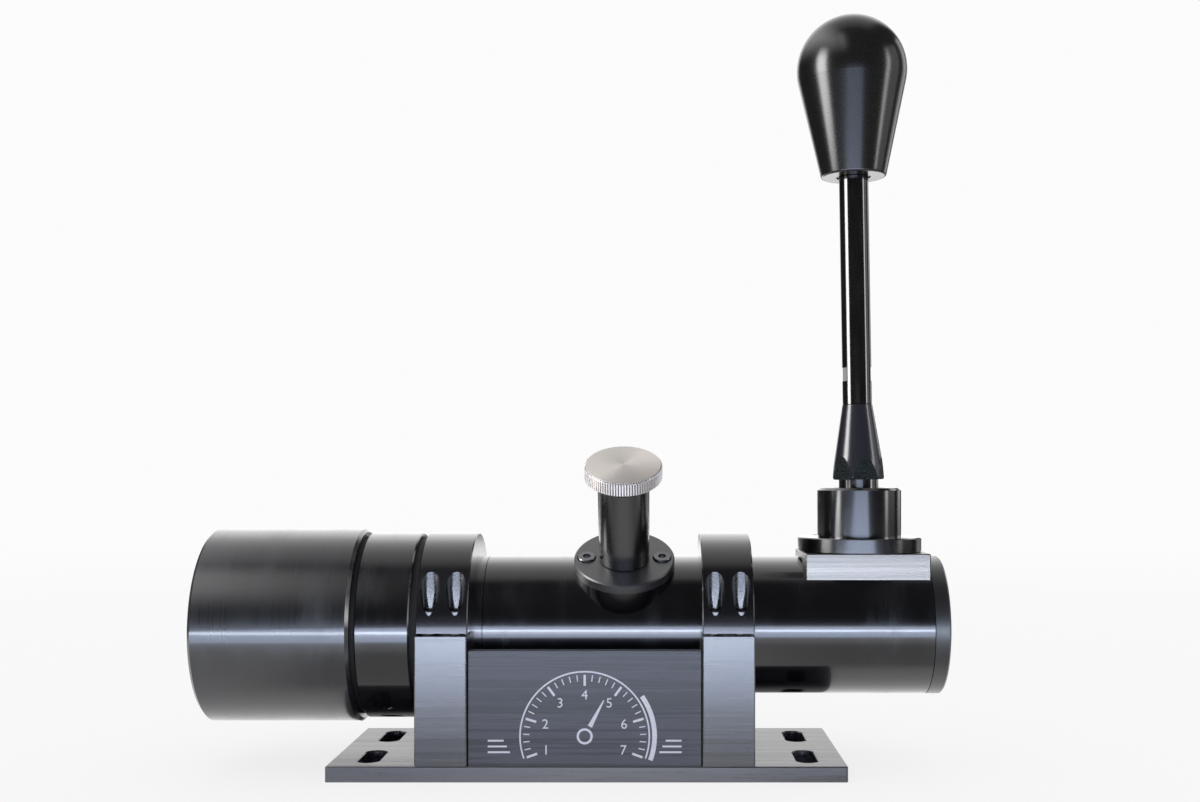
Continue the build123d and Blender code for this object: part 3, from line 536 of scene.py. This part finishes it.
def light_panel(name, corners, strength, colour=EVEN, foot=1.0, reach=1.0, side=0.0, top=1.0):
    """A light for polished faces, weaker at its foot over its reach, along its soft sides and at its top."""
    material = bpy.data.materials.new(name)
    make = Shader(material)
    split = make.add("ShaderNodeSeparateXYZ", inputs={0: make.add("ShaderNodeTexCoord", output="Generated")})
    across, height = split.out("Y"), split.out("Z")
    level = strength * (foot + (1.0 - foot) * height.ramp(0.0, reach))
    if side:
        level = level * across.ramp(0.0, side) * across.ramp(1.0, 1.0 - side)
        level = level * (top + (1.0 - top) * height.ramp(*TOP_FADE))
    glow = make.add("ShaderNodeEmission", inputs={"Color": (*colour, 1.0), "Strength": level})
    make.add("ShaderNodeOutputMaterial", inputs={"Surface": glow})
    hang(name, corners, material)


def hang(name, corners, material):
    """Puts up a stage panel that only polished faces see."""
    panel = mesh_piece(name, flat_sheet(name, corners), material)
    panel.visible_camera = False
    panel.visible_diffuse = False
    panel.visible_shadow = False
    panel.visible_transmission = False


def dark_net(name, corners, share):
    """A net that takes a share of the light that reaches one place."""
    material = bpy.data.materials.new(name)
    make = Shader(material)
    clear = make.add("ShaderNodeBsdfTransparent")
    black = make.add("ShaderNodeEmission", inputs={"Strength": 0.0})
    both = make.add("ShaderNodeMixShader", inputs={0: share, 1: clear, 2: black})
    make.add("ShaderNodeOutputMaterial", inputs={"Surface": both})
    hang(name, corners, material)


def upright(start, end, heights):
    """The corners of a panel between two upright edges, each at its x and y, from one height to another."""
    low, high = heights
    return [(*start, low), (*end, low), (*end, high), (*start, high)]


def lying(near, far):
    """The corners of a panel between two level edges, each with its ends along x, its y and its height."""
    return [(near[0], *near[2:]), (near[1], *near[2:]), (far[1], *far[2:]), (far[0], *far[2:])]


def make_lights():
    """A low strip in front with its core and middle, boxes at the left, right and rear, and a net."""
    light_panel("front_strip", lying((-0.36, 0.30, -0.22, 0.001), (-0.24, 0.42, -1.25, 0.115)), strength=4.5,
                colour=(0.77, 0.90, 1.20))
    light_panel("front_core", upright((-0.34, -0.38), (0.28, -0.38), (0.0195, 0.038)), strength=19.0,
                colour=(0.83, 0.93, 1.14))
    light_panel("front_middle", lying((-0.105, 0.065, -0.26, 0.0175), (-0.115, 0.075, -0.36, 0.018)),
                strength=7.0, colour=(0.88, 0.94, 1.12))
    light_panel("left_box", upright((-0.90, -0.03), (-0.90, -0.64), (0.03, 1.0)), strength=19.0,
                colour=(1.0, 0.99, 1.0), **SOFT_BOX_FADE)
    light_panel("right_box", upright((1.06, -0.43), (1.05, -0.20), BOX_HEIGHTS), strength=8.0,
                **SOFT_BOX_FADE)
    light_panel("right_wing", upright((1.05, -0.20), (1.04, 0.22), BOX_HEIGHTS), strength=0.9, **BOX_FADE)
    light_panel("rear_box", upright((0.85, 0.45), (0.75, 0.80), BOX_HEIGHTS), strength=1.4, **BOX_FADE)
    dark_net("knob_net", upright((-0.15, -0.50), (0.50, -0.50), (0.125, 0.24)), share=0.4)


def make_world():
    """White to the camera, plain light for dull faces, and a studio for polished ones."""
    world = bpy.data.worlds.new("studio")
    bpy.context.scene.world = world
    world.cycles.sampling_method = "NONE"
    make = Shader(world)
    way = make.add("ShaderNodeTexCoord", output="Generated")
    split = make.add("ShaderNodeSeparateXYZ", inputs={0: way})
    x, y, z = split.out("X"), split.out("Y"), split.out("Z")
    left = x * -1.0
    turn = x.maths("ARCTAN2", z, y * -1.0) / math.pi
    height = make.add("ShaderNodeValToRGB", {"stops": SKY_STOPS}, {"Fac": turn})
    inner = x.size().ramp(*SKY_SIDES)
    haze = left.ramp(*HAZE_LEFT) * inner * turn.ramp(*HAZE_LOW) * turn.ramp(*HAZE_HIGH)
    crown = left.ramp(*CROWN_LEFT) * z.ramp(*CROWN_RISE)
    studio = SKY_FILL + inner * (SKY_STRENGTH * height) + HAZE_STRENGTH * haze + CROWN_STRENGTH * crown
    camera, mirrored = make.seen()
    light = mirrored * studio + PLAIN_LIGHT * (1 - mirrored)
    around = make.add("ShaderNodeBackground", inputs={"Color": WHITE, "Strength": light})
    white = make.add("ShaderNodeBackground", inputs={"Color": WHITE, "Strength": 1.0})
    both = make.add("ShaderNodeMixShader", inputs={0: camera, 1: around, 2: white})
    make.add("ShaderNodeOutputWorld", inputs={"Surface": both})


def make_camera():
    """The camera at the photograph's place, looking along +Y."""
    data = bpy.data.cameras.new("camera")
    data.sensor_width = CAMERA_SENSOR
    data.lens = CAMERA_LENS
    data.shift_x, data.shift_y = CAMERA_SHIFT
    data.clip_start = CAMERA_NEAR
    camera = bpy.data.objects.new("camera", data)
    camera.location = CAMERA_PLACE
    camera.rotation_euler = (math.pi / 2, 0.0, 0.0)
    bpy.context.scene.collection.objects.link(camera)
    bpy.context.scene.camera = camera


# The dial engraved on the front panel, in metres
DIAL_DROP = 0.0105
DIAL_RADIUS = 0.0235
DIAL_START = math.radians(200)
DIAL_END = math.radians(-20)
DIAL_TICKS = 30
DIAL_EVERY = 5
MARK_PROUD = 0.00003
MARK_SUNK = 0.00002

# The dial's ticks, each by its length and its width
LONG_TICK = (0.0042, 0.0009)
SHORT_TICK = (0.0024, 0.0004)

# The dial's bands, each by its two edges off the dial's radius or, for the hub, off the middle
RIM_BAND = (0.0009, 0.0015)
RIM_PIECES = 44
HIGH_BAND = (0.0023, 0.0041)
HIGH_START = math.radians(35)
HIGH_PIECES = 11
HUB_BAND = (0.0022, 0.0031)
HUB_PIECES = 24

# The dial's needle, the lines beside it and its numbers
NEEDLE_ANGLE = math.radians(62)
NEEDLE_TAIL = 0.0042
NEEDLE_TIP = 0.0155
NEEDLE_HALF = 0.0009
NEEDLE_TAPER = 0.25
SIDE_LINES = 3
SIDE_START = 0.0285
SIDE_LENGTH = 0.0085
SIDE_STEP = 0.0012
SIDE_FOOT = -0.0064
SIDE_PITCH = 0.0022
SIDE_WIDTH = 0.0007
NUMERAL_DROP = 0.0078
NUMERAL_SIZE = 0.0052


def finished_mesh(name, solid):
    """Turns a solid that is being built into a mesh."""
    mesh = bpy.data.meshes.new(name)
    solid.to_mesh(mesh)
    solid.free()
    return mesh


def extruded(outlines, front, back, face_y):
    """Closed thin solids over flat outlines of (x, z) points."""
    solid = bmesh.new()
    for outline in outlines:
        near = [solid.verts.new((x, face_y - front, z)) for x, z in outline]
        far = [solid.verts.new((x, face_y + back, z)) for x, z in outline]
        solid.faces.new(near)
        solid.faces.new(list(reversed(far)))
        for i, vertex in enumerate(near):
            j = (i + 1) % len(near)
            solid.faces.new((near[j], vertex, far[i], far[j]))
    bmesh.ops.recalc_face_normals(solid, faces=solid.faces)
    return solid


def polar(radius, angle):
    return radius * math.cos(angle), radius * math.sin(angle)


def spoke(inner, outer, width, angle):
    """One tick of the dial as four points, square to its rim."""
    side = Vector(polar(1.0, angle + math.pi / 2)) * width / 2
    low, high = Vector(polar(inner, angle)), Vector(polar(outer, angle))
    return [tuple(low - side), tuple(high - side), tuple(high + side), tuple(low + side)]


def arc_band(inner, outer, start, end, steps):
    """A curved band cut into short pieces that share their ends."""
    pieces = []
    for i in range(steps):
        a = start + (end - start) * i / steps
        b = start + (end - start) * (i + 1) / steps
        pieces.append([polar(inner, a), polar(outer, a), polar(outer, b), polar(inner, b)])
    return pieces


def numeral(text, size, place):
    """A plain number as a flat mesh, centred on its place."""
    curve = bpy.data.curves.new("numeral", "FONT")
    curve.body = text
    curve.size = size
    curve.align_x = "CENTER"
    curve.align_y = "CENTER"
    curve.extrude = (MARK_PROUD + MARK_SUNK) / 2
    holder = bpy.data.objects.new("numeral", curve)
    bpy.context.scene.collection.objects.link(holder)
    mesh = bpy.data.meshes.new_from_object(holder)
    bpy.data.objects.remove(holder)
    mesh.transform(Matrix.Translation(place) @ Matrix.Rotation(math.pi / 2, 4, "X"))
    return mesh


def needle_outline():
    """A needle that is wide at its tail and narrow at its tip."""
    tip, tail = Vector(polar(NEEDLE_TIP, NEEDLE_ANGLE)), Vector(polar(NEEDLE_TAIL, NEEDLE_ANGLE))
    side = Vector(polar(NEEDLE_HALF, NEEDLE_ANGLE + math.pi / 2))
    corners = tail - side, tip - side * NEEDLE_TAPER, tip + side * NEEDLE_TAPER, tail + side
    return [tuple(corner) for corner in corners]


def side_line(way, row):
    """One of the short lines beside the dial, on its left for -1 and on its right for 1."""
    inner = SIDE_START + SIDE_STEP * row
    outer = inner + SIDE_LENGTH - SIDE_STEP * row
    left, right = sorted((way * inner, way * outer))
    rise = SIDE_FOOT + SIDE_PITCH * row
    return [(left, rise), (right, rise), (right, rise + SIDE_WIDTH), (left, rise + SIDE_WIDTH)]


def tick_angle(tick):
    return DIAL_START + (DIAL_END - DIAL_START) * tick / DIAL_TICKS


def panel_dial():
    """A plain rev dial: ticks, bands, a needle on its hub, lines at both sides and numbers."""
    low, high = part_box("front_panel")
    middle_x = (low.x + high.x) / 2
    middle_z = (low.z + high.z) / 2 - DIAL_DROP
    outlines = []
    for i in range(DIAL_TICKS + 1):
        length, width = LONG_TICK if i % DIAL_EVERY == 0 else SHORT_TICK
        outlines.append(spoke(DIAL_RADIUS - length, DIAL_RADIUS, width, tick_angle(i)))
    bands = (RIM_BAND, DIAL_START, RIM_PIECES), (HIGH_BAND, HIGH_START, HIGH_PIECES)
    for (inner, outer), start, pieces in bands:
        outlines += arc_band(DIAL_RADIUS + inner, DIAL_RADIUS + outer, start, DIAL_END, pieces)
    outlines.append(needle_outline())
    outlines += arc_band(*HUB_BAND, 0.0, 2 * math.pi, HUB_PIECES)
    outlines += [side_line(way, row) for way in (-1, 1) for row in range(SIDE_LINES)]
    moved = [[(x + middle_x, z + middle_z) for x, z in outline] for outline in outlines]
    solid = extruded(moved, MARK_PROUD, MARK_SUNK, low.y)
    for i in range(DIAL_TICKS // DIAL_EVERY + 1):
        x, z = polar(DIAL_RADIUS - NUMERAL_DROP, tick_angle(i * DIAL_EVERY))
        place = (middle_x + x, low.y - (MARK_PROUD - MARK_SUNK) / 2, middle_z + z)
        solid.from_mesh(numeral(str(i + 1), NUMERAL_SIZE, place))
    piece = mesh_piece("panel_dial", finished_mesh("panel_dial", solid), mark_finish())
    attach(piece, "frame")


# The thumb screw, in metres along its own axis from the post's foot
HEAD_FOOT = 0.0695
HEAD_TOP = 0.0755
HEAD_RADIUS = 0.015
HEAD_CHAMFER = 0.0005
HEAD_NECK = 0.0055
HEAD_CENTRE = 0.0006
RIB_COUNT = 90
RIB_STEPS = 8
RIB_DEPTH = 0.00045
RIB_ROUND = 0.8
RIB_RUNOUT = 1.4 * HEAD_CHAMFER
SHANK_RADIUS = 0.004
SHANK_LENGTH = 0.0125
THREAD_PITCH = 0.00125
THREAD_DEPTH = 0.0006
THREAD_STEPS = 10
THREAD_SIDES = 48
FLANK_SLOPE = 1.35
FLANK_LAND = 0.15
SCREW_SHARP = math.radians(25)


def rings_to_mesh(name, rings):
    """Joins closed rings of as many points each, and closes both ends."""
    solid = bmesh.new()
    rows = [[solid.verts.new(point) for point in ring] for ring in rings]
    for low, high in zip(rows, rows[1:]):
        for i, vertex in enumerate(low):
            j = (i + 1) % len(low)
            solid.faces.new((vertex, low[j], high[j], high[i]))
    solid.faces.new(list(reversed(rows[0])))
    solid.faces.new(rows[-1])
    return finished_mesh(name, solid)


def smooth(mesh, sharp):
    """Smooth shading that keeps the edges that turn by more than the sharp angle."""
    mesh.shade_smooth()
    mesh.set_sharp_from_angle(angle=sharp)


def head_ring(radius, height, ribbed):
    """One ring of the head, with a rounded groove between ribs where it is ribbed."""
    count = RIB_COUNT * RIB_STEPS
    points = []
    for i in range(count):
        angle = 2 * math.pi * i / count
        groove = max(0.0, math.cos(RIB_COUNT * angle)) ** RIB_ROUND if ribbed else 0.0
        reach = radius - RIB_DEPTH * groove
        points.append((reach * math.cos(angle), reach * math.sin(angle), height))
    return points


def thread_ring(height):
    """One ring of a right-hand thread."""
    points = []
    for i in range(THREAD_SIDES):
        angle = 2 * math.pi * i / THREAD_SIDES
        share = (height / THREAD_PITCH - i / THREAD_SIDES) % 1.0
        flank = min(1.0, max(0.0, FLANK_SLOPE * abs(2 * share - 1) - FLANK_LAND))
        reach = SHANK_RADIUS - THREAD_DEPTH * flank
        points.append((reach * math.cos(angle), reach * math.sin(angle), height))
    return points


def thumb_screw():
    """The knurled head on its threaded shank, turned about its own upright axis."""
    inner = HEAD_RADIUS - RIB_DEPTH
    edge = HEAD_CHAMFER
    head = [head_ring(HEAD_NECK, HEAD_FOOT, False), head_ring(inner - edge, HEAD_FOOT, False),
            head_ring(inner - edge / 4, HEAD_FOOT + edge / 4, False),
            head_ring(HEAD_RADIUS, HEAD_FOOT + RIB_RUNOUT, True),
            head_ring(HEAD_RADIUS, HEAD_TOP - RIB_RUNOUT, True),
            head_ring(inner - edge / 4, HEAD_TOP - edge / 4, False),
            head_ring(inner - edge, HEAD_TOP, False), head_ring(HEAD_CENTRE, HEAD_TOP, False)]
    low = HEAD_FOOT - SHANK_LENGTH
    count = round(SHANK_LENGTH / THREAD_PITCH * THREAD_STEPS)
    shank = [thread_ring(low + SHANK_LENGTH * i / count) for i in range(count + 1)]
    both = bmesh.new()
    both.from_mesh(rings_to_mesh("head", head))
    both.from_mesh(rings_to_mesh("shank", shank))
    mesh = finished_mesh("thumb_screw_turned", both)
    piece = mesh_piece("thumb_screw_turned", mesh, bright_finish())
    smooth(mesh, SCREW_SHARP)
    piece.matrix_world = POST_PLACE
    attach(piece, "adjuster")
    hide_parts("thumb_screw")


# The springs' wire, in sides of a wire and steps of a turn
WIRE_SIDES = 12
COIL_STEPS = 48
WIRE_SHARP = math.radians(50)

# The return coils in the cup, in metres, each by its foot along the tube, its length and its turns
RETURN_RADIUS = 0.014
RETURN_WIRE = 0.0012
RETURN_COILS = {"front": (-0.102, 0.019, 5), "rear": (-0.124, 0.016, 4)}

# The detent's coil in the post, in metres along the post's own axis
DETENT_RADIUS = 0.005
DETENT_WIRE = 0.00065
DETENT_TURNS = 6
DETENT_LOW = 0.039
DETENT_HIGH = 0.053


def coil_rings(low, high, radius, wire, turns):
    """The rings of one round wire that is wound between two seats on its own upright axis."""
    steps = turns * COIL_STEPS
    rise = (high - low - 2 * wire) / (2 * math.pi * turns)
    rings = []
    for i in range(steps + 1):
        angle = 2 * math.pi * i / COIL_STEPS
        outward = Vector((math.cos(angle), math.sin(angle), 0.0))
        along = Vector((-radius * math.sin(angle), radius * math.cos(angle), rise)).normalized()
        across = along.cross(outward)
        middle = outward * radius + Vector((0.0, 0.0, low + wire + rise * angle))
        turned = [2 * math.pi * k / WIRE_SIDES for k in range(WIRE_SIDES)]
        rings.append([middle + wire * (outward * math.cos(t) + across * math.sin(t)) for t in turned])
    return rings


def spring(name, rings, place, material, node):
    """A spring built from its rings and baked where it sits, which stands in for a node that it hides."""
    mesh = rings_to_mesh(name, rings)
    smooth(mesh, WIRE_SHARP)
    piece = mesh_piece(name, mesh, material)
    piece.matrix_world = place
    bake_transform(piece)
    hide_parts(node)


def springs():
    """The two return springs on the rod's tail, and the spring under the thumb screw in two halves."""
    wire = metal("spring_steel", (0.42, 0.43, 0.45), 0.3)
    for end, (foot, length, turns) in RETURN_COILS.items():
        place = Matrix.Translation((foot, 0.0, TUBE_HEIGHT)) @ Matrix.Rotation(math.pi / 2, 4, "Y")
        rings = coil_rings(0.0, length, RETURN_RADIUS, RETURN_WIRE, turns)
        spring(f"{end}_return_coil", rings, place, wire, f"{end}_return_spring")
    rings = coil_rings(DETENT_LOW, DETENT_HIGH, DETENT_RADIUS, DETENT_WIRE, DETENT_TURNS)
    half = len(rings) // 2
    for name, wound, body, moved in (("detent_coil_low", rings[:half + 1], "plunger", DETENT_LOW),
                                     ("detent_coil_high", rings[half:], "spring_button", DETENT_HIGH)):
        spring(name, wound, POST_PLACE, wire, "detent_spring")


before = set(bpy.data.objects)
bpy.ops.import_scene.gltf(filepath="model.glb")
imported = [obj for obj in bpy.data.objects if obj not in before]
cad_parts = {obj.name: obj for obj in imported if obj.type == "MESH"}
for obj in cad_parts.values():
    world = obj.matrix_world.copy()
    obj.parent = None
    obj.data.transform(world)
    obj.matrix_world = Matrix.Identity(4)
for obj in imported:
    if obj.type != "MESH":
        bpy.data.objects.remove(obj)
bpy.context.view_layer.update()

make_camera()
make_world()
make_floor()
make_lights()
paint_nodes(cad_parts)
panel_dial()
thumb_screw()
springs()

bpy.context.scene.view_settings.view_transform = "Standard"
